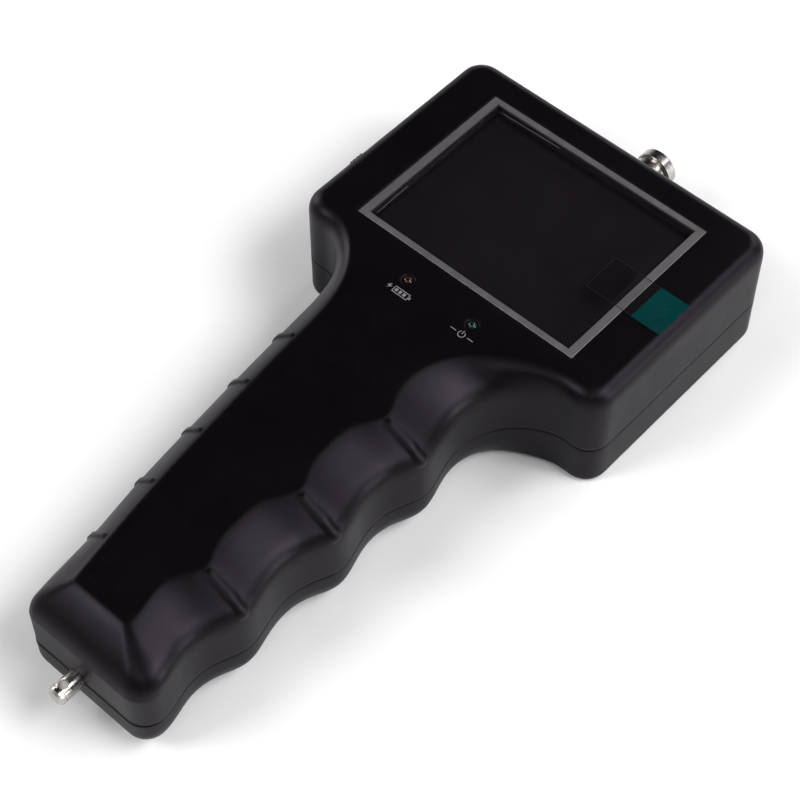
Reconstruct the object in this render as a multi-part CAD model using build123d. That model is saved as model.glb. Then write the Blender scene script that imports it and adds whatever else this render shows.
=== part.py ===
"""Handheld display instrument: a flat 3.5 inch head on a pistol grip with finger grooves.

Everything is drawn in the face frame: origin at the centre of the screen, on the flat face,
X across the head, Y from the grip towards the head's top edge, Z out of the face.
save() then moves each piece to the part's own frame, whose origin is at the centre of the
bottom of the whole instrument's box, with Z up and the back of the case on Z = 0.
"""
import math
import os

from build123d import *

# ---------------------------------------------------------------- driving dimensions, mm
THICK = 39.0                 # face to back
PARTING = -24.0              # height of the line between the two shells
WALL = 2.4
PAD = 0.6                    # height of the flat pads behind the nuts

HEAD_HALF = 55.0             # half width of the head
HEAD_TOP = 41.0
HEAD_BOTTOM = -38.0
HEAD_CORNER = 7.0            # plan radius of the head's corners
GRIP_END = -178.3            # outside of the wall at the grip's free end

WINDOW_W, WINDOW_H = 73.0, 56.1
BEZEL_W, BEZEL_H = 78.2, 60.0
BEZEL_PROUD = 0.15
BEZEL_POCKET = 0.6
LENS_Z0, LENS_Z1 = -1.7, -0.2  # back and front of the clear lens
LEDGE = 1.0                  # ledge that the lens sits on
WELL_Z = -3.4                # back of the frame moulded round the window
FRAME_HALF = 40.0
LCD_Z = -3.9                 # front of the liquid crystal panel
LCD_HALF, LCD_Y0, LCD_Y1 = 38.2, -33.0, 29.8
FILM_W, FILM_H, FILM_TURN = 69.4, 52.6, 1.2

LED_X, LED_Y = 11.75, -39.2
LED_R, LED_HOLE_R = 1.5, 1.6
LED_TOP = 0.6                # top of the lamps above the face

JACK_X, JACK_Z = 4.2, -19.5  # axis of the signal socket in the head's top wall
JACK_TIP = 56.3
COLLAR_R, COLLAR_L = 6.05, 3.7
NECK_R, NECK_L = 4.9, 1.4
BARREL_R = 5.9
THREAD_R = 4.0               # threaded tail through the wall
WASHER_T = 0.5
JACK_BORE_R, JACK_BORE_L = 4.1, 12.0
COAX_Y, COAX_TOP = 20.0, -13.2

POST_R, POST_SHANK_R = 2.8, 2.0   # strap post
POST_TIP = -186.3
POST_HOLE_R = 1.5
POST_HOLE_Y = -182.9

SWITCH_Y, SWITCH_Z = -9.5, -9.0   # middle of the switch's slot in the thumb-side wall
SWITCH_TRAVEL = 3.0
STEM_W, STEM_H = 2.4, 2.0
KNOB_W, KNOB_H = 5.0, 4.0
KNOB_OUT = 3.0               # knob beyond the side wall
MOVE_GAP = 0.4               # clearance round the sliding stem

CHARGE_Y, CHARGE_Z = 14.0, -15.2
CHARGE_BORE_R, CHARGE_HOLE_R = 2.1, 3.3

PCB_TOP, PCB_T = -9.6, 1.6
PCB_HALF = 45.5
STANDOFF_R, PCB_SCREW_R, PCB_SCREW_TIP = 2.2, 1.0, -5.0
PCB_Y0, PCB_Y1 = -25.5, 29.5
STANDOFFS = [(-42.3, -18.0), (42.3, -18.0), (-42.3, 24.0), (42.3, 24.0)]

CELL_R, CELL_L = 9.2, 65.0
CELL_X, CELL_Z = 0.5, -22.6
CELL_START = -160.5          # rear end of the rear cell
CELL_GAP, CELL_WALL = 1.0, 1.6
CRADLE_HALF, CRADLE_Z = 10.4, -33.6
STRAPS = [-131.0, -64.0]
BOARD_Y0 = CELL_START - CELL_WALL - 1.0   # rear of the protection board
LEAD_Z = -14.0
PLUG_Y = -21.0               # battery plug under the circuit board

HEAD_SCREWS = [(-46.5, 34.0), (46.5, 34.0), (-46.5, -30.0), (46.5, -30.0)]
GRIP_SCREWS = [(-17.5, -74.0), (14.5, -170.0)]
BOSS_R, PILOT_R = 3.3, 1.1
LOW_BOSS_R, SCREW_R = 4.3, 1.5
SCREW_HEAD_R, SCREW_WELL_R = 2.7, 3.1
SCREW_HEAD_Z = -33.5         # seat of the screw heads, inside the wells
SCREW_TIP_Z = -15.0

# How far the outline pulls in at each depth, above the side wall: depth below the face,
# then the inset of the head's edge, the thumb side, the finger side and the free end.
UPPER_PROFILE = [
    (0.00, 4.60, 9.60, 16.20, 11.90),
    (0.40, 2.60, 8.10, 13.80, 10.20),
    (1.20, 1.40, 6.90, 11.80, 8.80),
    (2.60, 0.45, 5.30, 8.50, 6.80),
    (4.20, 0.08, 3.70, 4.80, 4.70),
    (5.60, 0.00, 2.45, 2.20, 3.10),
    (7.20, 0.00, 1.35, 0.70, 1.75),
    (9.20, 0.00, 0.45, 0.10, 0.70),
    (11.5, 0.00, 0.00, 0.00, 0.10),
]
# Below the parting line each side turns into the back over a quarter circle.
BACK_DEPTH = THICK + PARTING
BACK_ROUND = (1.6, 11.0, 11.0, 9.0)   # radius at the head, thumb side, finger side, free end
BACK_LEVELS = [0.0, 2.5, 5.0, 7.5, 9.6, 11.4, 12.8, 13.9, 14.6, 14.9, 15.0]

# Finger side of the outline: x, y, then how much of the finger inset, of the head inset and
# of the free end's inset a point takes. Valleys and ridges alternate up to the head.
FINGER_SIDE = [
    (22.5, -160.0, 0.96, 0.0, 0.38),
    (23.7, -151.0, 1.01, 0.0, 0.10),
    (26.4, -142.6, 0.94, 0.0, 0.0),
    (25.2, -135.5, 1.03, 0.0, 0.0),
    (23.6, -127.0, 1.00, 0.0, 0.0),
    (25.0, -118.0, 1.03, 0.0, 0.0),
    (28.0, -109.5, 0.94, 0.0, 0.0),
    (26.6, -102.5, 1.03, 0.0, 0.0),
    (24.8, -94.0, 1.00, 0.0, 0.0),
    (26.1, -85.5, 1.03, 0.0, 0.0),
    (28.8, -77.5, 0.94, 0.0, 0.0),
    (27.4, -70.0, 1.02, 0.0, 0.0),
    (25.6, -61.5, 0.96, 0.0, 0.0),
    (27.0, -52.5, 0.80, 0.3, 0.0),
    (31.5, -45.0, 0.50, 0.7, 0.0),
    (38.5, -39.9, 0.18, 1.0, 0.0),
]
FINGER_HEAD_X = 45.0         # where the finger side joins the head's bottom edge

# Thumb side of the outline, from the head to the free end: x, y, then how much of the
# thumb inset and of the head inset a point takes.
THUMB_SIDE = [
    (-38.6, -40.4, 0.15, 1.0),
    (-34.2, -45.6, 0.45, 0.7),
    (-31.9, -53.5, 0.80, 0.3),
    (-31.0, -63.0, 1.00, 0.0),
    (-29.7, -78.0, 1.00, 0.0),
    (-28.0, -96.0, 1.00, 0.0),
    (-26.1, -114.0, 1.00, 0.0),
    (-23.7, -134.0, 1.00, 0.0),
    (-20.9, -152.0, 1.00, 0.0),
]
THUMB_HEAD_X = -45.0
END_LEFT, END_LEFT_R = -18.6, 4.2     # thumb corner of the free end: wall X and radius
END_RIGHT, END_RIGHT_R = 24.8, 6.4    # finger corner of the free end
LEAN = 9.0                            # lean of the thumb side where it meets that corner

# Thumb ribs: their place along the grip, and where each one's upper end stops.
RIDGES = [(-152.6, -12.6), (-132.8, -15.6), (-113.2, -17.9), (-93.6, -19.8), (-74.2, -21.3)]
RIDGE_W, RIDGE_LIFT, RIDGE_FOOT = 1.3, 0.45, -17.0

# Raised bars between the finger grooves: side wall X and Y of each, then the bars' centre
# line as distance in from the side wall and depth.
BARS = [(26.4, -142.6), (28.0, -110.3), (28.8, -78.0)]
BAR_LINE = [(12.65, 2.66), (5.2, 5.8), (2.4, 7.9)]
BAR_R, BAR_TIP_R, BAR_BEND = 2.5, 2.6, 4.0

GROOVE = 0.3                          # visible gap between the shells
LIP_OUTER, LIP_INNER, LIP_H = 1.2, 3.0, 1.4   # tongue of the back shell

X_MID = -KNOB_OUT / 2         # middle of the whole box, with the knob and the post in it
Y_MID = (JACK_TIP + POST_TIP) / 2


# ---------------------------------------------------------------- helpers
def save(name, *solids):
    """Write one node's solids, in the part's own frame."""
    shape = solids[0] if len(solids) == 1 else Compound(children=list(solids))
    export_step(shape.moved(Location((-X_MID, -Y_MID, THICK))), f"parts/{name}.step")


def box(x0, x1, y0, y1, z0, z1):
    """A box between two corners."""
    centre = ((x0 + x1) / 2, (y0 + y1) / 2, (z0 + z1) / 2)
    return Pos(*centre) * Box(x1 - x0, y1 - y0, z1 - z0)


def rod_z(x, y, z0, z1, r):
    """A cylinder along Z."""
    return Pos(x, y, (z0 + z1) / 2) * Cylinder(r, z1 - z0)


def rod_y(x, z, y0, y1, r):
    """A cylinder along Y."""
    return Pos(x, (y0 + y1) / 2, z) * Rot(90, 0, 0) * Cylinder(r, y1 - y0)


def rod_x(y, z, x0, x1, r):
    """A cylinder along X."""
    return Pos((x0 + x1) / 2, y, z) * Rot(0, 90, 0) * Cylinder(r, x1 - x0)


def plate(width, height, z0, z1, radius=0.0):
    """A rectangular plate centred on the screen, with optional corner radii."""
    face = RectangleRounded(width, height, radius) if radius else Rectangle(width, height)
    return Pos(0, 0, z0) * extrude(face, z1 - z0)


def wire_tube(points, radii, r):
    """A round wire along straight runs joined by arcs."""
    path = FilletPolyline(*points, radius=radii)
    start = Plane(origin=path @ 0, z_dir=path % 0)
    return sweep(start * Circle(r), path=path)


def on_circle(centre, radius, angle):
    """A point on a circle in plan, angle in degrees."""
    a = math.radians(angle)
    return (centre[0] + radius * math.cos(a), centre[1] + radius * math.sin(a))


# ---------------------------------------------------------------- case outline
def outline(z, head, thumb, finger, end, extra=0.0):
    """The plan outline at height z, pulled in by each side's inset plus extra all round."""
    head, thumb, finger, end = (v + extra for v in (head, thumb, finger, end))
    half = HEAD_HALF - head
    top = HEAD_TOP - head
    low = HEAD_BOTTOM + head
    rc = max(HEAD_CORNER - 0.7 * head, 1.0)
    y_end = GRIP_END + end
    x_left = END_LEFT + thumb
    x_right = END_RIGHT - finger
    r_left = max(END_LEFT_R - 0.25 * thumb, 1.4)
    r_right = max(END_RIGHT_R - 0.32 * finger, 1.2)

    def at(p):
        return Vector(p[0], p[1], z)

    centre_r = (x_right - r_right, y_end + r_right)
    arc_r = [on_circle(centre_r, r_right, a) for a in (-90, -45, 0)]
    finger_pts = [(x - finger * f, y + head * h + end * e) for x, y, f, h, e in FINGER_SIDE]
    stop_r = (FINGER_HEAD_X, low)
    finger_edge = Spline(
        *[at(p) for p in [arc_r[2]] + finger_pts + [stop_r]],
        tangents=[(0, 1, 0), (1, 0, 0)],
        tangent_scalars=[1.0, 1.0],
    )

    centre_l = (x_left + r_left, y_end + r_left)
    arc_l = [on_circle(centre_l, r_left, a) for a in (180 + LEAN, 225 + LEAN / 2, 270)]
    thumb_pts = [(x + thumb * f, y + head * h) for x, y, f, h in THUMB_SIDE]
    start_l = (THUMB_HEAD_X, low)
    lean = math.radians(LEAN)
    thumb_edge = Spline(
        *[at(p) for p in [start_l] + thumb_pts + [arc_l[0]]],
        tangents=[(1, 0, 0), (math.sin(lean), -math.cos(lean), 0)],
        tangent_scalars=[1.0, 1.0],
    )

    edges = [ThreePointArc(*[at(p) for p in arc_r]), finger_edge]
    corners = [(1, -1, -90), (1, 1, 0), (-1, 1, 90), (-1, -1, 180)]
    here = stop_r
    for sx, sy, a0 in corners:
        centre = (sx * (half - rc), (top - rc) if sy > 0 else (low + rc))
        first, middle, last = (on_circle(centre, rc, a0 + d) for d in (0, 45, 90))
        edges.append(Line(at(here), at(first)))
        edges.append(ThreePointArc(at(first), at(middle), at(last)))
        here = last
    edges.append(Line(at(here), at(start_l)))
    edges.append(thumb_edge)
    edges.append(ThreePointArc(*[at(p) for p in arc_l]))
    edges.append(Line(at(arc_l[2]), at(arc_r[0])))
    return Face(Wire(edges))


def upper_body(extra=0.0, drop=0.0):
    """The solid above the parting line, or with extra and drop its hollow."""
    sections = [outline(-d - drop, *insets, extra) for d, *insets in UPPER_PROFILE]
    deepest, *insets = UPPER_PROFILE[-1]
    base = outline(-deepest - drop, *insets, extra)
    return loft(sections) + extrude(base, amount=-deepest - drop - PARTING, dir=(0, 0, -1))


def back_insets(depth):
    """How far each side has turned in at a depth below the parting line."""
    turned = [max(0.0, depth - BACK_DEPTH + radius) for radius in BACK_ROUND]
    return [r - math.sqrt(r * r - t * t) for r, t in zip(BACK_ROUND, turned)]


def lower_body(extra=0.0, lift=0.0):
    """The solid below the parting line, or with extra and lift its hollow."""
    body = loft([outline(PARTING - d, *back_insets(d), extra) for d in BACK_LEVELS])
    if lift:
        body = body.moved(Location((0, 0, lift))) - box(-80, 80, -200, 80, PARTING, 0)
    return body


def slab(extra, z0, z1):
    """A slab with the outline of the parting line, pulled in by extra."""
    return extrude(outline(z0, 0, 0, 0, 0, extra), amount=z1 - z0, dir=(0, 0, 1))


def lip(inset, z0, z1):
    """The tongue of the back shell that reaches up inside the front one."""
    return slab(inset, z0, z1) - slab(LIP_INNER, z0 - 1, z1 + 1)


def layer(z0, z1):
    """Everything between two heights."""
    return box(-80, 80, -200, 80, z0, z1)


# ---------------------------------------------------------------- shells
def screw_rods(z0, z1, radius):
    """A cylinder at every case screw."""
    return [rod_z(x, y, z0, z1, radius) for x, y in HEAD_SCREWS + GRIP_SCREWS]


def thumb_ridges():
    """Thin ribs that follow the thumb side's slope."""
    skin = upper_body(-RIDGE_LIFT, -0.3)
    ribs = []
    for y, x_top in RIDGES:
        band = box(-40, x_top, y - RIDGE_W / 2, y + RIDGE_W / 2, RIDGE_FOOT, -0.5)
        ribs.append(skin & band)
    return ribs


def finger_bars():
    """Round-topped bars between the finger grooves, each swelling at its lower end."""
    bars = []
    for x, y in BARS:
        line = [(x - inset, y, -depth) for inset, depth in BAR_LINE]
        bar = wire_tube(line, BAR_BEND, BAR_R) + Pos(*line[0]) * Sphere(BAR_R)
        bars.append(bar + Pos(*line[-1]) * Sphere(BAR_TIP_R))
    return bars


def wall_pads():
    """Flat pads inside the end walls, for the socket's nut and the strap post's nut."""
    jack_y = HEAD_TOP - WALL - PAD
    jack = box(JACK_X - 8, JACK_X + 8, jack_y, HEAD_TOP, JACK_Z - 8, JACK_Z + 8)
    post_y = GRIP_END + WALL + 2 * PAD
    return [jack, box(-5, 5, GRIP_END, post_y, PARTING - 5, PARTING + 5)]


def top_shell():
    """Front shell: face, window, lamp holes, bosses and the switch's slot."""
    hollow = upper_body(WALL, WALL) - wall_pads()
    hollow -= screw_rods(PARTING, 0, BOSS_R)
    hollow -= [rod_z(x, y, PCB_TOP, 0, STANDOFF_R) for x, y in STANDOFFS]
    hollow -= box(-FRAME_HALF, FRAME_HALF, LCD_Y0 - 1.6, LCD_Y1 + 1.6, WELL_Z, 0)
    shell = upper_body() + thumb_ridges() + finger_bars() - hollow
    shell -= plate(BEZEL_W, BEZEL_H, -BEZEL_POCKET, 2)
    shell -= plate(WINDOW_W, WINDOW_H, LENS_Z0, 2)
    shell -= plate(WINDOW_W - 2 * LEDGE, WINDOW_H - 2 * LEDGE, -8, 2)
    shell -= [rod_z(x, LED_Y, -8, 2, LED_HOLE_R) for x in (-LED_X, LED_X)]
    shell -= screw_rods(PARTING, SCREW_TIP_Z + 1, PILOT_R)
    shell -= [rod_z(x, y, PCB_TOP, PCB_SCREW_TIP + 0.5, PCB_SCREW_R) for x, y in STANDOFFS]
    shell -= rod_y(JACK_X, JACK_Z, HEAD_TOP - 9, HEAD_TOP + 2, THREAD_R)
    half_y = (STEM_W + SWITCH_TRAVEL) / 2 + MOVE_GAP
    half_z = STEM_H / 2 + MOVE_GAP
    wall_x0, wall_x1 = -HEAD_HALF - 2, -HEAD_HALF + WALL + 1
    slot = box(wall_x0, wall_x1, -half_y, half_y, -half_z, half_z)
    shell -= Pos(0, SWITCH_Y, SWITCH_Z) * slot
    shell -= rod_x(CHARGE_Y, CHARGE_Z, wall_x0, wall_x1, CHARGE_HOLE_R)
    shell -= rod_y(0, PARTING, GRIP_END - 2, GRIP_END + 6, POST_SHANK_R)
    shell -= lip(LIP_OUTER - 0.1, PARTING - 1, PARTING + LIP_H + 0.1)
    return shell - layer(0, 2) - layer(PARTING - 1, PARTING + GROOVE / 2)


def bottom_shell():
    """Back shell: tongue, screw pillars and screw wells."""
    hollow = lower_body(WALL, WALL) - wall_pads()
    hollow -= screw_rods(-THICK, PARTING, LOW_BOSS_R)
    shell = lower_body() - hollow - layer(PARTING - GROOVE / 2, PARTING + 1)
    shell += lip(LIP_OUTER, PARTING - 1, PARTING + LIP_H) - screw_rods(-30, -15, LOW_BOSS_R + 1)
    shell -= screw_rods(-THICK - 1, SCREW_HEAD_Z, SCREW_WELL_R)
    shell -= screw_rods(-THICK - 1, PARTING + 2, SCREW_R)
    shell -= rod_y(JACK_X, JACK_Z, HEAD_TOP - 9, HEAD_TOP + 2, THREAD_R)
    shell -= rod_y(0, PARTING, GRIP_END - 2, GRIP_END + 6, POST_SHANK_R)
    return shell


def case_screws():
    """Six pan screws with cross recesses, seated in the back shell's wells."""
    screws = []
    for x, y in HEAD_SCREWS + GRIP_SCREWS:
        head = rod_z(x, y, SCREW_HEAD_Z - 2.0, SCREW_HEAD_Z, SCREW_HEAD_R)
        head = chamfer(head.edges().group_by(Axis.Z)[0], 0.5)
        body = head + rod_z(x, y, SCREW_HEAD_Z, SCREW_TIP_Z, PILOT_R)
        for w, d in ((3.0, 0.7), (0.7, 3.0)):
            z_low = SCREW_HEAD_Z - 2.0
            body -= box(x - w / 2, x + w / 2, y - d / 2, y + d / 2, z_low - 1, z_low + 1.1)
        screws.append(body)
    return screws


# ---------------------------------------------------------------- screen
def screen_bezel():
    """Bright frame round the window."""
    z0, z1 = -BEZEL_POCKET, BEZEL_PROUD
    frame = plate(BEZEL_W - 0.1, BEZEL_H - 0.1, z0, z1)
    frame = chamfer(frame.edges().group_by(Axis.Z)[-1], 0.08)
    return frame - plate(WINDOW_W, WINDOW_H, z0 - 1, z1 + 1)


def lcd_tray():
    """Folded metal tray round the display's panel and backlight."""
    outer = box(-LCD_HALF - 0.8, LCD_HALF + 0.8, LCD_Y0 - 0.8, LCD_Y1 + 0.8, LCD_Z - 3.8, LCD_Z)
    inner = box(-LCD_HALF, LCD_HALF, LCD_Y0, LCD_Y1, LCD_Z - 3.3, LCD_Z + 1)
    tray = outer - inner
    return tray - box(-12, 12, LCD_Y0 - 2, LCD_Y0 + 1, LCD_Z - 2.2, LCD_Z + 1)


def lcd_ribbon():
    """Flat cable from the display's lower edge, folded back to the circuit board."""
    y0, z_top, z_low = LCD_Y0 - 1.6, LCD_Z - 0.4, PCB_TOP - 0.9
    run = box(-10, 10, y0, LCD_Y0, z_top - 0.2, z_top)
    drop = box(-10, 10, y0, y0 + 0.2, z_low, z_top)
    foot = box(-10, 10, y0, PCB_Y0, z_low, z_low + 0.2)
    return run + drop + foot


def lamp(x):
    """A 3 mm lamp with a domed lens and a flange behind the face."""
    dome = Pos(x, LED_Y, LED_TOP - LED_R) * Sphere(LED_R)
    stem = rod_z(x, LED_Y, -5.2, LED_TOP - LED_R, LED_R)
    return dome + stem + rod_z(x, LED_Y, -WALL - 1.0, -WALL, LED_R + 0.4)


def led_leads():
    """Two bent leads from each lamp to the circuit board's edge."""
    z_run = PCB_TOP - PCB_T / 2
    leads = []
    for x in (-LED_X, LED_X):
        for dx in (-0.7, 0.7):
            bend = [(x + dx, LED_Y, -5.2), (x + dx, LED_Y, z_run), (x + dx, PCB_Y0, z_run)]
            leads.append(wire_tube(bend, 1.5, 0.25))
    return leads


def pull_tab():
    """Clear strip of the film's pull tab with its coloured end, laid on the bezel."""
    y0, y1 = -8.0, 5.4
    strip = box(26.0, 42.1, y0, y1, BEZEL_PROUD, BEZEL_PROUD + 0.1)
    end = box(42.1, 51.8, y0, y1, 0.0, 0.35)
    return strip, end


# ---------------------------------------------------------------- electronics
def main_pcb():
    """Circuit board with a screw hole at each standoff."""
    board = box(-PCB_HALF, PCB_HALF, PCB_Y0, PCB_Y1, PCB_TOP - PCB_T, PCB_TOP)
    return board - [rod_z(x, y, -20, 0, PCB_SCREW_R + 0.2) for x, y in STANDOFFS]


def pcb_chips():
    """Packages on the underside of the circuit board: x, y, width, depth, height."""
    packages = [
        (-22, 10, 16, 16, 1.2),
        (2, 2, 12, 8, 1.4),
        (20, -6, 9, 9, 1.0),
        (30, 14, 10, 6, 1.4),
        (-28, -14, 7, 5, 1.6),
        (-8, -4, 5, 4, 1.0),
        (36, -10, 5, 5, 1.5),
    ]
    z = PCB_TOP - PCB_T
    return [box(x - w / 2, x + w / 2, y - d / 2, y + d / 2, z - h, z) for x, y, w, d, h in packages]


def pcb_connectors():
    """Battery header and the small coaxial header under the board."""
    z = PCB_TOP - PCB_T
    battery = box(0, 9, PLUG_Y - 3, PLUG_Y + 3, z - 5, z)
    return battery, rod_z(JACK_X, COAX_Y, z - 2.0, z, 2.4)


def pcb_screws():
    """Four screws that hold the board to the standoffs."""
    z = PCB_TOP - PCB_T
    screws = []
    for x, y in STANDOFFS:
        body = rod_z(x, y, z - 1.6, z, 1.9) + rod_z(x, y, z, PCB_SCREW_TIP, PCB_SCREW_R)
        screws.append(body - box(x - 1.4, x + 1.4, y - 0.3, y + 0.3, z - 2, z - 0.9))
    return screws


def power_switch_body():
    """Slide switch housing with the channel its stem runs in."""
    body = box(-HEAD_HALF + WALL + 0.6, -46.0, SWITCH_Y - 6, SWITCH_Y + 6, -13.0, -6.0)
    body -= box(-46.6, -45.0, SWITCH_Y - 7, SWITCH_Y + 7, PCB_TOP - PCB_T - 0.1, PCB_TOP + 0.1)
    half_y = (STEM_W + SWITCH_TRAVEL) / 2 + MOVE_GAP
    half_z = STEM_H / 2 + MOVE_GAP
    channel = box(-60, -48.6, -half_y, half_y, -half_z, half_z)
    return body - Pos(0, SWITCH_Y, SWITCH_Z) * channel


def power_switch_slider():
    """Ribbed knob and stem, drawn at the slot's lower end."""
    stem = box(-HEAD_HALF - KNOB_OUT + 1, -49.0, -STEM_W / 2, STEM_W / 2, -STEM_H / 2, STEM_H / 2)
    x0, x1 = -HEAD_HALF - KNOB_OUT, -HEAD_HALF - 0.35
    knob = box(x0, x1, -KNOB_W / 2, KNOB_W / 2, -KNOB_H / 2, KNOB_H / 2)
    knob = fillet(knob.edges().group_by(Axis.X)[0], 0.5)
    for y in (-1.4, 0.0, 1.4):
        knob -= box(x0 - 1, x0 + 0.4, y - 0.3, y + 0.3, -KNOB_H, KNOB_H)
    return Pos(0, SWITCH_Y - SWITCH_TRAVEL / 2, SWITCH_Z) * (knob + stem)


def charge_jack():
    """Barrel power jack under the board, and its centre pin."""
    wall = -HEAD_HALF + WALL
    body = box(wall + 0.1, -41.0, CHARGE_Y - 4.5, CHARGE_Y + 4.5, -19.2, PCB_TOP - PCB_T)
    body += rod_x(CHARGE_Y, CHARGE_Z, -HEAD_HALF + 0.3, wall + 0.2, CHARGE_HOLE_R - 0.2)
    body -= rod_x(CHARGE_Y, CHARGE_Z, -60, -45.5, CHARGE_BORE_R)
    pin = rod_x(CHARGE_Y, CHARGE_Z, -53.8, -45.5, 0.65)
    return body, pin


# ---------------------------------------------------------------- signal socket
def ring_y(y0, y1, r, bore=0.0):
    """A turned ring on the signal socket's axis."""
    solid = rod_y(JACK_X, JACK_Z, y0, y1, r)
    return solid - rod_y(JACK_X, JACK_Z, y0 - 1, y1 + 1, bore) if bore else solid


def hex_y(x, z, y0, y1, across, bore):
    """A hexagon nut along Y."""
    prism = extrude(RegularPolygon(across / 2, 6, major_radius=False), y1 - y0)
    return Pos(x, y1, z) * Rot(90, 0, 0) * prism - rod_y(x, z, y0 - 1, y1 + 1, bore)


def connector_shell():
    """Nickel body: threaded tail, flange, barrel, latch groove and collar."""
    neck0 = JACK_TIP - COLLAR_L - NECK_L
    y_flange = HEAD_TOP + WASHER_T
    body = ring_y(HEAD_TOP - 8.5, y_flange, THREAD_R)
    body += ring_y(y_flange, y_flange + 2.6, 8.0)
    body += ring_y(y_flange + 2.6, neck0, BARREL_R)
    body += ring_y(neck0, JACK_TIP - COLLAR_L, NECK_R)
    collar = ring_y(JACK_TIP - COLLAR_L, JACK_TIP, COLLAR_R)
    collar = chamfer(collar.edges().group_by(Axis.Y)[-1], 0.35)
    body += chamfer(collar.edges().group_by(Axis.Y)[0], 0.3)
    body -= ring_y(JACK_TIP - JACK_BORE_L, JACK_TIP + 1, JACK_BORE_R)
    return body - ring_y(HEAD_TOP - 9, JACK_TIP, 2.2)


def connector_core():
    """White insulator through the body, and the gold contact in it."""
    floor = JACK_TIP - JACK_BORE_L
    insulator = ring_y(HEAD_TOP - 8.5, floor, 2.2, 0.7)
    insulator += ring_y(floor, floor + 4.0, JACK_BORE_R, 0.7)
    return insulator, ring_y(HEAD_TOP - 11, JACK_TIP - 2.0, 0.7)


# ---------------------------------------------------------------- strap post and battery
def strap_post():
    """Turned post with a cross hole, a groove near its tip and a threaded shank."""
    post = rod_y(0, PARTING, POST_TIP, GRIP_END, POST_R)
    post = chamfer(post.edges().group_by(Axis.Y)[0], 0.7)
    groove_y = POST_TIP + 1.5
    rim = rod_y(0, PARTING, groove_y, groove_y + 0.5, POST_R + 1)
    post -= rim - rod_y(0, PARTING, groove_y - 1, groove_y + 2, POST_R - 0.35)
    post += rod_y(0, PARTING, GRIP_END, GRIP_END + 6.8, POST_SHANK_R)
    return post - rod_z(0, POST_HOLE_Y, PARTING - 10, PARTING + 10, POST_HOLE_R)


def cell(y0):
    """One cylindrical cell with its raised positive terminal."""
    can = rod_y(CELL_X, CELL_Z, y0, y0 + CELL_L - 1.0, CELL_R)
    can = fillet(can.edges(), 0.6)
    return can + rod_y(CELL_X, CELL_Z, y0 + CELL_L - 1.2, y0 + CELL_L, 2.8)


def battery_cradle():
    """Trough under the two cells, on two feet."""
    y0 = CELL_START - CELL_WALL
    y1 = CELL_START + 2 * CELL_L + CELL_GAP + CELL_WALL
    x0, x1 = CELL_X - CRADLE_HALF, CELL_X + CRADLE_HALF
    trough = box(x0, x1, y0, y1, CRADLE_Z, CELL_Z)
    trough -= rod_y(CELL_X, CELL_Z, y0 + CELL_WALL - 0.2, y1 - CELL_WALL + 0.2, CELL_R + 0.05)
    for y in (-145.0, -60.0):
        trough += box(-5, 5, y - 5, y + 5, -THICK + WALL, CRADLE_Z)
    return trough


def battery_straps():
    """Two bands over the cells, standing on the trough's rims."""
    bands = []
    for y in STRAPS:
        band = rod_y(CELL_X, CELL_Z, y - 4, y + 4, CELL_R + 0.9)
        band -= rod_y(CELL_X, CELL_Z, y - 5, y + 5, CELL_R + 0.05)
        bands.append(band - box(-20, 20, y - 9, y + 9, CELL_Z - 15, CELL_Z))
    return bands


def battery_leads():
    """Red and black leads from the protection board to the battery header."""
    y0, z = BOARD_Y0, LEAD_Z
    red = [(6, y0, z), (6, y0 - 2.3, z), (12.5, y0 - 2.3, z), (12.5, PLUG_Y, z), (9, PLUG_Y, z)]
    black = [(-5, y0, z), (-5, y0 - 3.2, z), (-11.5, y0 - 3.2, z), (-11.5, PLUG_Y, z), (0, PLUG_Y, z)]
    return wire_tube(red, 1.0, 0.6), wire_tube(black, 1.0, 0.6)


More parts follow.
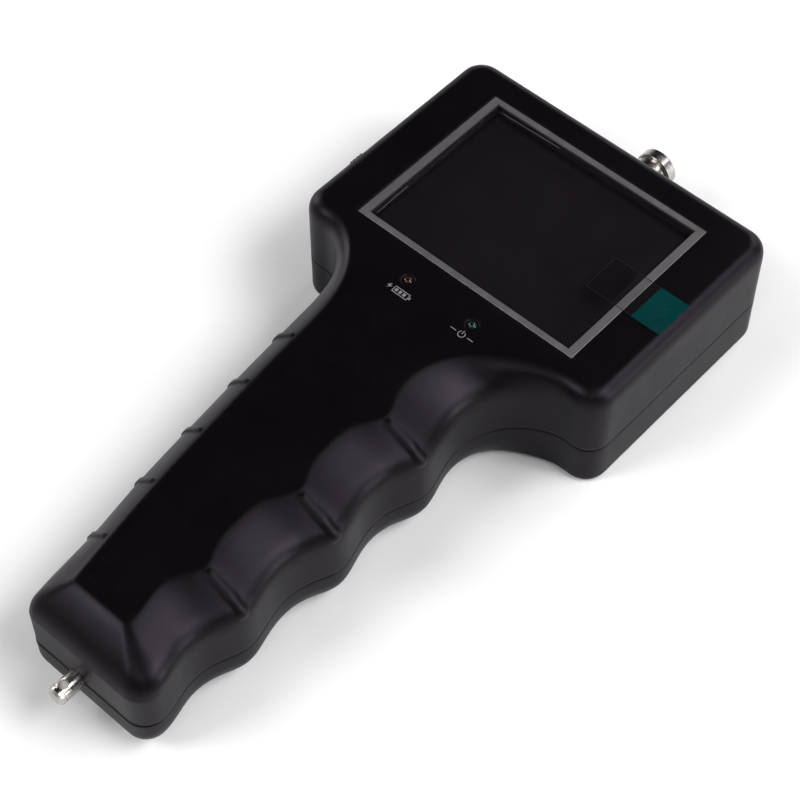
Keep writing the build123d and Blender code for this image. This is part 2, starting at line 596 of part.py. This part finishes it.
def main():
    """Write every node."""
    os.makedirs("parts", exist_ok=True)
    save("top_shell", top_shell())
    save("bottom_shell", bottom_shell())
    save("case_screws", *case_screws())

    save("screen_bezel", screen_bezel())
    save("screen_lens", plate(WINDOW_W - 0.2, WINDOW_H - 0.2, LENS_Z0, LENS_Z1))
    film = Rot(0, 0, FILM_TURN) * plate(FILM_W, FILM_H, LENS_Z1, LENS_Z1 + 0.1)
    save("protective_film", film)
    strip, end = pull_tab()
    save("pull_strip", strip)
    save("pull_tab", end)
    gasket = plate(WINDOW_W + 2, WINDOW_H + 2, LCD_Z, WELL_Z)
    gasket -= plate(WINDOW_W - 1.6, WINDOW_H - 1.6, LCD_Z - 1, WELL_Z + 1)
    save("lcd_gasket", gasket)
    save("lcd_panel", box(-LCD_HALF, LCD_HALF, LCD_Y0, LCD_Y1, LCD_Z - 1.2, LCD_Z))
    save("lcd_backlight", box(-LCD_HALF, LCD_HALF, LCD_Y0, LCD_Y1, LCD_Z - 3.3, LCD_Z - 1.2))
    save("lcd_tray", lcd_tray())
    save("lcd_ribbon", lcd_ribbon())
    save("charge_lamp", lamp(-LED_X))
    save("power_lamp", lamp(LED_X))
    save("lamp_leads", *led_leads())

    save("main_pcb", main_pcb())
    save("pcb_chips", *pcb_chips())
    save("pcb_headers", *pcb_connectors())
    save("pcb_screws", *pcb_screws())
    save("power_switch_body", power_switch_body())
    save("power_switch_slider", power_switch_slider())
    jack, pin = charge_jack()
    save("charge_jack", jack)
    save("charge_jack_pin", pin)

    save("connector_shell", connector_shell())
    insulator, contact = connector_core()
    save("connector_insulator", insulator)
    save("connector_contact", contact)
    save("connector_washer", ring_y(HEAD_TOP + 0.05, HEAD_TOP + WASHER_T, 8.6, THREAD_R))
    nut_y = HEAD_TOP - WALL - PAD
    save("connector_nut", hex_y(JACK_X, JACK_Z, nut_y - 2.4, nut_y, 12.0, THREAD_R))
    coax = [(JACK_X, HEAD_TOP - 11, JACK_Z), (JACK_X, COAX_Y, JACK_Z), (JACK_X, COAX_Y, COAX_TOP)]
    save("signal_coax", wire_tube(coax, 3.0, 1.1))

    save("strap_post", strap_post())
    wall = GRIP_END + WALL + 2 * PAD
    save("strap_post_nut", hex_y(0, PARTING, wall, wall + 2.4, 6.5, POST_SHANK_R))
    save("battery_cells", cell(CELL_START), cell(CELL_START + CELL_L + CELL_GAP))
    save("battery_cradle", battery_cradle())
    save("battery_straps", *battery_straps())
    save("protection_board", box(-8, 9, BOARD_Y0, BOARD_Y0 + 1.0, -32, -12))
    red, black = battery_leads()
    save("battery_lead_red", red)
    save("battery_lead_black", black)


if __name__ == "__main__":
    main()
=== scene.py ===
"""Looks of the handheld display instrument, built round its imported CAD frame."""
import math

import bmesh
import bpy
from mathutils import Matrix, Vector


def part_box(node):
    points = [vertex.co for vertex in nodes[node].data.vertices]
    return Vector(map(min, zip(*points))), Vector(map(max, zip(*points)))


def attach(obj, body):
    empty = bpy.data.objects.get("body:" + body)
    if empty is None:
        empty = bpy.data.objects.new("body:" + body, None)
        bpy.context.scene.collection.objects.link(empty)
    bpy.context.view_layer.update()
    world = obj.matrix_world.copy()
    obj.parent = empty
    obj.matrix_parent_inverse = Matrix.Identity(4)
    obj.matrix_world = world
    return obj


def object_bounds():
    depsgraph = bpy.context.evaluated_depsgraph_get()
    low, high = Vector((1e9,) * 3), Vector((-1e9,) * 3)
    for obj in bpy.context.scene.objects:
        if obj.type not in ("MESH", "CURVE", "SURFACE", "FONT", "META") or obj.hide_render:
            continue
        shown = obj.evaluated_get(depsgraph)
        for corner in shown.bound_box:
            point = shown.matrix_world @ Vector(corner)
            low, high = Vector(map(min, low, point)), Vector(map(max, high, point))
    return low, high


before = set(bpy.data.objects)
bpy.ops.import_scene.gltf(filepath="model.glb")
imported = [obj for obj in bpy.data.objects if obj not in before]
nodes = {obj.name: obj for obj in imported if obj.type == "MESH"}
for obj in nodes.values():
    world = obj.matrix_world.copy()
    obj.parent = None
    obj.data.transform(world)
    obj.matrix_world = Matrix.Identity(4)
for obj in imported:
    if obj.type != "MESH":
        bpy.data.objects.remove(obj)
cad_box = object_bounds()
MM = 0.001

bezel_lo, bezel_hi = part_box("screen_bezel")
FACE_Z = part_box("top_shell")[1].z
SCREEN = Vector(((bezel_lo.x + bezel_hi.x) / 2, (bezel_lo.y + bezel_hi.y) / 2, FACE_Z))


# ---------------------------------------------------------------- material helpers
SPECK_SCALE, SPECK_START, SPECK_FULL = 1400.0, 0.70, 0.76   # dust specks on a surface
BEVEL_SAMPLES = 4


def new_material(name):
    """A material using nodes; returns it, its node tree and its Principled shader."""
    mat = bpy.data.materials.new(name)
    mat.use_nodes = True
    return mat, mat.node_tree, mat.node_tree.nodes["Principled BSDF"]


def noise(nt, scale, detail=4.0, roughness=0.55, distortion=0.0):
    """Noise in object coordinates; scale is in cycles per metre."""
    coord = nt.nodes.new("ShaderNodeTexCoord")
    tex = nt.nodes.new("ShaderNodeTexNoise")
    tex.inputs["Scale"].default_value = scale
    tex.inputs["Detail"].default_value = detail
    tex.inputs["Roughness"].default_value = roughness
    tex.inputs["Distortion"].default_value = distortion
    nt.links.new(coord.outputs["Object"], tex.inputs["Vector"])
    return tex


def ramp(nt, source, stops):
    """A colour ramp; stops are (position, grey or colour)."""
    node = nt.nodes.new("ShaderNodeValToRGB")
    while len(node.color_ramp.elements) < len(stops):
        node.color_ramp.elements.new(0.5)
    for element, (pos, value) in zip(node.color_ramp.elements, stops):
        element.position = pos
        rgb = (value, value, value) if isinstance(value, (int, float)) else value
        element.color = (*rgb, 1.0)
    nt.links.new(source, node.inputs["Fac"])
    return node


def add_bump(nt, bsdf, layers, soften=0.0):
    """Chained bumps; each layer is (texture, strength, distance in metres).

    soften is the radius in metres over which edges are shaded round.
    """
    last = None
    if soften:
        last = nt.nodes.new("ShaderNodeBevel")
        last.samples = BEVEL_SAMPLES
        last.inputs["Radius"].default_value = soften
    for tex, strength, distance in layers:
        bump = nt.nodes.new("ShaderNodeBump")
        bump.inputs["Strength"].default_value = strength
        bump.inputs["Distance"].default_value = distance
        nt.links.new(tex.outputs[0], bump.inputs["Height"])
        if last is not None:
            nt.links.new(last.outputs["Normal"], bump.inputs["Normal"])
        last = bump
    nt.links.new(last.outputs["Normal"], bsdf.inputs["Normal"])


def mixed(nt, factor, a, b):
    """Mix two colours by a factor socket."""
    mix = nt.nodes.new("ShaderNodeMix")
    mix.data_type = "RGBA"
    nt.links.new(factor, mix.inputs["Factor"])
    for socket, value in ((mix.inputs[6], a), (mix.inputs[7], b)):
        if isinstance(value, (tuple, list)):
            socket.default_value = (*value, 1.0)
        else:
            nt.links.new(value, socket)
    return mix.outputs[2]


def surface(name, dark, light, rough, patch=60.0, grain=2500.0, grain_depth=0.00002,
            grain_strength=0.25, metallic=0.0, coat=0.0, specks=None, shine=0.5, sheen_tint=None,
            soften=0.0):
    """General solid surface: patchy colour, patchy roughness, fine grain and dust specks."""
    mat, nt, bsdf = new_material(name)
    broad = noise(nt, patch, 5.0, 0.6)
    tint = ramp(nt, broad.outputs["Fac"], [(0.3, dark), (0.7, light)])
    colour = tint.outputs["Color"]
    if specks is not None:
        scatter = noise(nt, SPECK_SCALE, 2.0, 0.5)
        gate = ramp(nt, scatter.outputs["Fac"], [(SPECK_START, 0.0), (SPECK_FULL, 1.0)])
        colour = mixed(nt, gate.outputs["Color"], colour, specks)
    nt.links.new(colour, bsdf.inputs["Base Color"])
    smudge = noise(nt, patch * 2.3, 6.0, 0.65)
    gloss = ramp(nt, smudge.outputs["Fac"], [(0.3, rough[0]), (0.7, rough[1])])
    nt.links.new(gloss.outputs["Color"], bsdf.inputs["Roughness"])
    fine = noise(nt, grain, 3.0, 0.6)
    add_bump(nt, bsdf, [(fine, grain_strength, grain_depth)], soften)
    bsdf.inputs["Metallic"].default_value = metallic
    bsdf.inputs["Coat Weight"].default_value = coat
    bsdf.inputs["Specular IOR Level"].default_value = shine
    if sheen_tint is not None:
        bsdf.inputs["Specular Tint"].default_value = (*sheen_tint, 1.0)
    return mat


def brushed(name, dark, light, rough, stretch, metallic=1.0):
    """Metal with fine lines; stretch scales the noise along X, Y and Z."""
    mat, nt, bsdf = new_material(name)
    coord = nt.nodes.new("ShaderNodeTexCoord")
    mapping = nt.nodes.new("ShaderNodeMapping")
    mapping.inputs["Scale"].default_value = stretch
    tex = nt.nodes.new("ShaderNodeTexNoise")
    tex.inputs["Scale"].default_value = 1.0
    tex.inputs["Detail"].default_value = 4.0
    nt.links.new(coord.outputs["Object"], mapping.inputs["Vector"])
    nt.links.new(mapping.outputs["Vector"], tex.inputs["Vector"])
    tint = ramp(nt, tex.outputs["Fac"], [(0.3, dark), (0.7, light)])
    nt.links.new(tint.outputs["Color"], bsdf.inputs["Base Color"])
    patch = noise(nt, 140.0, 5.0, 0.6)
    gloss = ramp(nt, patch.outputs["Fac"], [(0.3, rough[0]), (0.7, rough[1])])
    nt.links.new(gloss.outputs["Color"], bsdf.inputs["Roughness"])
    add_bump(nt, bsdf, [(tex, 0.12, 0.00002)])
    bsdf.inputs["Metallic"].default_value = metallic
    return mat


def clear(name, tint, rough, alpha=1.0):
    """Glossy dark plastic with faint smears; alpha is how much it hides."""
    mat, nt, bsdf = new_material(name)
    smear = noise(nt, 45.0, 5.0, 0.6, 1.5)
    colour = ramp(nt, smear.outputs["Fac"], [(0.3, tint[0]), (0.7, tint[1])])
    nt.links.new(colour.outputs["Color"], bsdf.inputs["Base Color"])
    gloss = ramp(nt, smear.outputs["Fac"], [(0.35, rough[0]), (0.7, rough[1])])
    nt.links.new(gloss.outputs["Color"], bsdf.inputs["Roughness"])
    fine = noise(nt, 5000.0, 2.0)
    add_bump(nt, bsdf, [(fine, 0.05, 0.00001)])
    bsdf.inputs["Alpha"].default_value = alpha
    bsdf.inputs["IOR"].default_value = 1.49
    return mat


# ---------------------------------------------------------------- materials
case = surface("case_plastic", (0.0013, 0.0009, 0.0012), (0.0023, 0.0016, 0.0022),
               (0.35, 0.43), patch=28.0, grain=2600.0, grain_depth=0.00003,
               grain_strength=0.25, specks=(0.012, 0.011, 0.013), shine=0.26,
               sheen_tint=(0.92, 0.80, 1.0), soften=0.0015)
knob_plastic = surface("knob_plastic", (0.012, 0.011, 0.012), (0.02, 0.019, 0.02), (0.4, 0.5))
bezel_metal = brushed("bezel_metal", (0.20, 0.191, 0.196), (0.235, 0.224, 0.23), (0.36, 0.46),
                      (500.0, 30.0, 500.0), metallic=0.6)
nickel = surface("nickel", (0.46, 0.435, 0.415), (0.58, 0.555, 0.53), (0.22, 0.30), patch=300.0,
                 grain=5000.0, grain_depth=0.00001, grain_strength=0.05, metallic=1.0,
                 specks=(0.36, 0.335, 0.31))
gold = surface("gold_plate", (0.70, 0.47, 0.17), (0.85, 0.62, 0.28), (0.18, 0.3), patch=400.0,
               metallic=1.0)
steel = surface("dark_steel", (0.06, 0.06, 0.065), (0.12, 0.12, 0.125), (0.3, 0.45), patch=500.0,
                metallic=1.0)
bright_steel = brushed("bright_steel", (0.45, 0.45, 0.46), (0.62, 0.62, 0.63), (0.25, 0.4),
                       (60.0, 900.0, 60.0))
ptfe = surface("ptfe", (0.78, 0.77, 0.74), (0.86, 0.85, 0.82), (0.35, 0.5), patch=300.0)
lens_clear = clear("lens_clear", [(0.010, 0.009, 0.010), (0.014, 0.013, 0.014)], (0.10, 0.16),
                   0.10)
film_clear = clear("film_clear", [(0.010, 0.008, 0.010), (0.014, 0.011, 0.014)], (0.24, 0.32),
                   0.16)
strip_clear = clear("strip_clear", [(0.045, 0.040, 0.045), (0.060, 0.054, 0.060)], (0.2, 0.3),
                    0.05)
# Light grey lines along the pull strip's cut edges: painted highlights.
strip_edge_glint = clear("strip_edge_glint", [(0.022, 0.020, 0.021), (0.036, 0.033, 0.035)], (0.3, 0.4),
                  0.55)
# Lighter grey for the lifted film edges: a painted glint along the film's top and left edges.
film_glint = clear("film_glint", [(0.07, 0.065, 0.068), (0.12, 0.11, 0.115)], (0.3, 0.4),
                   0.9)
tab_green = surface("tab_green", (0.0, 0.038, 0.0385), (0.0, 0.047, 0.048), (0.22, 0.34),
                    patch=80.0, grain=1500.0, coat=0.2)
lcd_dark = surface("lcd_panel", (0.0155, 0.0105, 0.0160), (0.0205, 0.0138, 0.0210), (0.35, 0.45),
                   patch=40.0, grain=6000.0)
guide_white = surface("light_guide", (0.75, 0.77, 0.78), (0.85, 0.86, 0.87), (0.3, 0.45))
foam = surface("gasket_foam", (0.006, 0.006, 0.006), (0.012, 0.012, 0.012), (0.7, 0.9), grain=1800)
polyimide = surface("ribbon_polyimide", (0.35, 0.17, 0.04), (0.48, 0.25, 0.07), (0.25, 0.4))
lamp_red = clear("lamp_red", [(0.022, 0.003, 0.0025), (0.034, 0.005, 0.004)], (0.14, 0.19))
lamp_green = clear("lamp_green", [(0.002, 0.013, 0.008), (0.003, 0.020, 0.012)], (0.14, 0.19))
tinned = surface("tinned_wire", (0.5, 0.5, 0.5), (0.65, 0.65, 0.64), (0.25, 0.4), metallic=1.0)
board = surface("solder_mask", (0.010, 0.10, 0.035), (0.015, 0.14, 0.05), (0.3, 0.42), coat=0.3)
chip = surface("chip_epoxy", (0.012, 0.012, 0.013), (0.02, 0.02, 0.02), (0.45, 0.6))
header = surface("header_nylon", (0.68, 0.66, 0.58), (0.78, 0.76, 0.69), (0.4, 0.55))
cell_sleeve = surface("cell_sleeve", (0.02, 0.10, 0.30), (0.03, 0.14, 0.38), (0.2, 0.35), coat=0.3)
cradle_plastic = surface("cradle_plastic", (0.018, 0.018, 0.018), (0.03, 0.03, 0.03), (0.45, 0.6))
webbing = surface("strap_webbing", (0.55, 0.54, 0.50), (0.70, 0.69, 0.64), (0.7, 0.85), grain=1500,
                  grain_depth=0.0001, grain_strength=0.5)
red_pvc = surface("red_pvc", (0.36, 0.012, 0.010), (0.46, 0.02, 0.015), (0.35, 0.5))
black_pvc = surface("black_pvc", (0.010, 0.010, 0.010), (0.018, 0.018, 0.018), (0.35, 0.5))

NODE_MATERIALS = {
    case: ["top_shell", "bottom_shell"],
    knob_plastic: ["power_switch_slider", "charge_jack", "power_switch_body"],
    bezel_metal: ["screen_bezel"],
    nickel: ["connector_shell", "connector_washer", "connector_nut", "strap_post",
             "strap_post_nut"],
    gold: ["connector_contact", "charge_jack_pin"],
    steel: ["case_screws", "pcb_screws"],
    bright_steel: ["lcd_tray"],
    ptfe: ["connector_insulator"],
    lens_clear: ["screen_lens"],
    film_clear: ["protective_film"],
    strip_clear: ["pull_strip"],
    tab_green: ["pull_tab"],
    lcd_dark: ["lcd_panel"],
    guide_white: ["lcd_backlight"],
    foam: ["lcd_gasket"],
    polyimide: ["lcd_ribbon"],
    lamp_red: ["charge_lamp"],
    lamp_green: ["power_lamp"],
    tinned: ["lamp_leads"],
    board: ["main_pcb", "protection_board"],
    chip: ["pcb_chips"],
    header: ["pcb_headers"],
    cell_sleeve: ["battery_cells"],
    cradle_plastic: ["battery_cradle"],
    webbing: ["battery_straps"],
    red_pvc: ["battery_lead_red"],
    black_pvc: ["battery_lead_black", "signal_coax"],
}
for material, names in NODE_MATERIALS.items():
    for node in names:
        mesh = nodes[node].data
        mesh.materials.clear()
        mesh.materials.append(material)


# ---------------------------------------------------------------- printed marks on the face
PRINT_Z = FACE_Z + 0.00001
PRINT_T = 0.00003
FILM_LIFT, FILM_EDGE_T = 0.00012, 0.00008   # film edges above the lens, and their thickness

# In mm from the screen's centre, as are all the outlines below.
CHARGE_MARK = (-10.9, -44.0)
POWER_MARK = (11.7, -43.6)
MARK_LINE = 0.30
# Lifted film edges, coloured lighter as painted glints along the film's top and left edges.
FILM_EDGES = [                    # name, start, end and width
    ("film_edge_top", (-32.8, 26.2), (-12.0, 26.8), 0.28),
    ("film_edge_left", (-34.7, -26.6), (-34.9, -13.6), 0.22),
]
# Width in mm of the painted highlight lines along the pull strip's edges.
STRIP_LINE = 0.17


def flat_piece(name, outlines, material, z, height):
    """Flat thin solids; outlines are lists of (x, y) in mm from the screen's centre."""
    bm = bmesh.new()
    for outline in outlines:
        verts = [bm.verts.new((SCREEN.x + x * MM, SCREEN.y + y * MM, z)) for x, y in outline]
        face = bm.faces.new(verts)
        raised = bmesh.ops.extrude_face_region(bm, geom=[face])
        top = [v for v in raised["geom"] if isinstance(v, bmesh.types.BMVert)]
        bmesh.ops.translate(bm, verts=top, vec=(0, 0, height))
    bmesh.ops.recalc_face_normals(bm, faces=bm.faces)
    mesh = bpy.data.meshes.new(name)
    bm.to_mesh(mesh)
    bm.free()
    piece = bpy.data.objects.new(name, mesh)
    bpy.context.scene.collection.objects.link(piece)
    mesh.materials.append(material)
    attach(piece, "case")


def flat_print(name, outlines, material):
    """Thin raised marks on the face."""
    flat_piece(name, outlines, material, PRINT_Z, PRINT_T)


def stroke(points, width):
    """Quads along a polyline, each a separate outline."""
    quads = []
    for (x0, y0), (x1, y1) in zip(points, points[1:]):
        length = math.hypot(x1 - x0, y1 - y0)
        nx, ny = -(y1 - y0) / length * width / 2, (x1 - x0) / length * width / 2
        right = [(x0 - nx, y0 - ny), (x1 - nx, y1 - ny)]
        left = [(x1 + nx, y1 + ny), (x0 + nx, y0 + ny)]
        quads.append(right + left)
    return quads


def arc_points(cx, cy, r, a0, a1, count):
    """Points on a circle between two angles in degrees."""
    angles = [math.radians(a0 + (a1 - a0) * i / count) for i in range(count + 1)]
    return [(cx + r * math.cos(a), cy + r * math.sin(a)) for a in angles]


def moved(points, x, y):
    """Points shifted by x and y."""
    return [(px + x, py + y) for px, py in points]


def build_marks():
    """A bolt and a battery below the charge lamp, and a power mark below the other."""
    ink = surface("print_ink", (0.15, 0.15, 0.155), (0.25, 0.25, 0.255), (0.5, 0.65), patch=900.0)
    x, y = CHARGE_MARK
    rim = [(-1.8, -1.0), (3.4, -1.0), (3.4, 1.0), (-1.8, 1.0), (-1.8, -1.0)]
    bars = [[(b, -0.55), (b + 0.9, -0.55), (b + 0.9, 0.55), (b, 0.55)] for b in (-1.3, 0.1, 1.5)]
    terminal = [(3.7, -0.45), (4.2, -0.45), (4.2, 0.45), (3.7, 0.45)]
    bolt = [(-3.1, 1.1), (-4.2, -0.15), (-3.4, -0.15), (-3.9, -1.1), (-2.5, 0.2), (-3.3, 0.2)]
    shapes = stroke(moved(rim, x, y), MARK_LINE)
    shapes += [moved(shape, x, y) for shape in bars + [terminal, bolt]]
    flat_print("mark_charge", shapes, ink)
    x, y = POWER_MARK
    circle = stroke(arc_points(x, y, 1.05, 125, 415, 22), MARK_LINE)
    stem = stroke([(x, y + 0.1), (x, y + 1.4)], MARK_LINE)
    dashes = [moved([(d, -0.15), (d + 2.0, -0.15), (d + 2.0, 0.15), (d, 0.15)], x, y)
              for d in (-4.0, 2.0)]
    flat_print("mark_power", circle + stem + dashes, ink)


def build_film_edges():
    """Lifted edges of the protective film and lines along the cut edges of its pull strip, all
    coloured lighter as painted highlights.
    """
    lens_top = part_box("screen_lens")[1].z
    strip_lo, strip_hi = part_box("pull_strip")
    for name, start, end, width in FILM_EDGES:
        flat_piece(name, stroke([start, end], width), film_glint, lens_top + FILM_LIFT,
                   FILM_EDGE_T)
    x0, x1 = (strip_lo.x - SCREEN.x) / MM, (strip_hi.x - SCREEN.x) / MM
    y0, y1 = (strip_lo.y - SCREEN.y) / MM, (strip_hi.y - SCREEN.y) / MM
    half = STRIP_LINE / 2
    runs = [[(x0 + half, y0), (x0 + half, y1)], [(x0, y0 + half), (x1, y0 + half)],
            [(x0, y1 - half), (x1, y1 - half)]]
    lines = [quad for run in runs for quad in stroke(run, STRIP_LINE)]
    # Painted highlight lines on the strip's cut edges.
    flat_piece("strip_highlight_lines", lines, strip_edge_glint, strip_hi.z, PRINT_T)


# ---------------------------------------------------------------- studio
FLOOR_HALF, FLOOR_GAP = 6.0, 0.0005          # metres
LIGHT_TARGET = Vector((0.0, 0.0, 0.03))
LIGHT_DISTANCE, LIGHT_SIZE = 1.9, 0.7
SOFTBOXES = [                                # name, elevation and azimuth in degrees, watts
    ("side_low", 15, 20, 14.5),
    ("side_high", 52, 10, 12.5),
    ("corner_high", 52, 40, 11.5),
    ("behind", 29, 88, 7.5),
    ("camera_side", 52, -60, 4.5),
    ("front", 45, -120, 14.0),
    ("thumb_side", 20, 180, 10.5),
]
WALL_STOPS = [(0.0, 1.0), (0.20, 0.75), (0.42, 0.012), (1.0, 0.012)]   # height, brightness
WORLD_STRENGTH = 0.75
EYE_FROM_SCREEN = Vector((236.60, -317.47, 459.37)) * MM
EYE_DIRECTION = Vector((0.3926, -0.4346, 0.8105))
SENSOR_MM, LENS_MM = 36.0, 96.08
VIEW_GAMMA, VIEW_EXPOSURE = 0.86, 0.1


def build_floor():
    """A plain pale floor under the object."""
    bm = bmesh.new()
    bmesh.ops.create_grid(bm, x_segments=8, y_segments=8, size=FLOOR_HALF)
    mesh = bpy.data.meshes.new("floor")
    bm.to_mesh(mesh)
    bm.free()
    floor = bpy.data.objects.new("floor", mesh)
    floor.location = (0, 0, cad_box[0][2] - FLOOR_GAP)
    bpy.context.scene.collection.objects.link(floor)
    mesh.materials.append(surface("floor_paper", (0.86, 0.86, 0.86), (0.90, 0.90, 0.90),
                                  (0.8, 0.9), patch=4.0, grain=400.0))


def softbox(name, elevation, azimuth, power):
    """A square softbox aimed at the object."""
    up, round_z = math.radians(elevation), math.radians(azimuth)
    direction = Vector((math.cos(up) * math.cos(round_z), math.cos(up) * math.sin(round_z),
                        math.sin(up)))
    data = bpy.data.lights.new(name, "AREA")
    data.shape = "SQUARE"
    data.size = LIGHT_SIZE
    data.energy = power
    lamp = bpy.data.objects.new(name, data)
    lamp.location = LIGHT_TARGET + direction * LIGHT_DISTANCE
    lamp.rotation_euler = (-direction).to_track_quat("-Z", "Y").to_euler()
    bpy.context.scene.collection.objects.link(lamp)


def build_world():
    """Pale walls round the horizon under a dark ceiling."""
    world = bpy.data.worlds.new("studio")
    world.use_nodes = True
    nt = world.node_tree
    coord = nt.nodes.new("ShaderNodeTexCoord")
    split = nt.nodes.new("ShaderNodeSeparateXYZ")
    nt.links.new(coord.outputs["Generated"], split.inputs["Vector"])
    walls = ramp(nt, split.outputs["Z"], WALL_STOPS)
    nt.links.new(walls.outputs["Color"], nt.nodes["Background"].inputs["Color"])
    nt.nodes["Background"].inputs["Strength"].default_value = WORLD_STRENGTH
    bpy.context.scene.world = world


def build_lights():
    """Softboxes all round, kept out of the face's mirror direction."""
    for entry in SOFTBOXES:
        softbox(*entry)


def build_camera():
    """The photograph's viewpoint: its place is given from the screen's centre."""
    data = bpy.data.cameras.new("camera")
    data.sensor_width = SENSOR_MM
    data.lens = LENS_MM
    data.clip_start, data.clip_end = 0.01, 50.0
    camera = bpy.data.objects.new("camera", data)
    camera.location = SCREEN + EYE_FROM_SCREEN
    camera.rotation_euler = (-EYE_DIRECTION).to_track_quat("-Z", "Y").to_euler()
    bpy.context.scene.collection.objects.link(camera)
    bpy.context.scene.camera = camera


build_marks()
build_film_edges()
build_floor()
build_world()
build_lights()
build_camera()
view = bpy.context.scene.view_settings
view.view_transform = "Standard"
view.gamma = VIEW_GAMMA
view.exposure = VIEW_EXPOSURE
